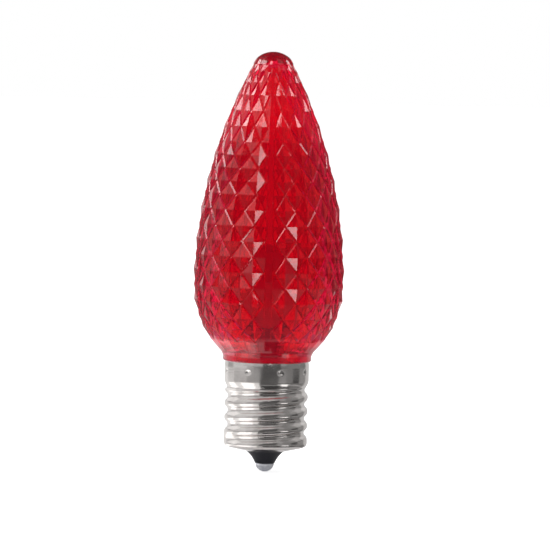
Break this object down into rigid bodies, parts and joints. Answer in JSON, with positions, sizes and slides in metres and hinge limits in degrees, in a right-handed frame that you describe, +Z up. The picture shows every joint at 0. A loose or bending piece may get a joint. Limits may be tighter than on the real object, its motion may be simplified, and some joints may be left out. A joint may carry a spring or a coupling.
{
  "type": "christmas light bulb",
  "caption": "Cone-shaped string-light lamp with a red lens of raised pyramids on an intermediate screw base, with its lamp board inside.",
  "frame": {"origin": "lowest point of the centre contact, on the axis of the screw base", "axes": "+Z up the bulb's axis from the contact to the tip of the lens; -Y is the front, where one smooth strip of the lens faces"},
  "size_m": [0.0298, 0.0298, 0.0831],
  "materials": {
    "lens": "moulded clear red polycarbonate, polished",
    "shell": "rolled brass sheet, nickel plated and bright",
    "insulator": "moulded black insulator, satin",
    "contact": "tinned contact with solder over it",
    "holder": "moulded white plastic",
    "board": "glass-epoxy board with white mask",
    "lamp": "white lamp body with a clear window",
    "rectifier": "black moulded package on tinned legs",
    "resistor": "black glazed ceramic chip with plated ends",
    "lead": "tinned copper wire",
    "solder": "tin solder"
  },
  "bodies": {
    "root": {"lens": "lens", "screw_shell": "shell", "insulator": "insulator", "center_contact": "contact", "board_holder": "holder", "circuit_board": "board", "led_front_upper": "lamp", "led_front_lower": "lamp", "led_back_upper": "lamp", "led_back_lower": "lamp", "bridge_rectifier": "rectifier", "resistor_lower": "resistor", "resistor_upper": "resistor", "center_lead": "lead", "shell_lead": "lead", "board_solder": "solder", "shell_solder": "solder"}
  },
  "joints": []
}
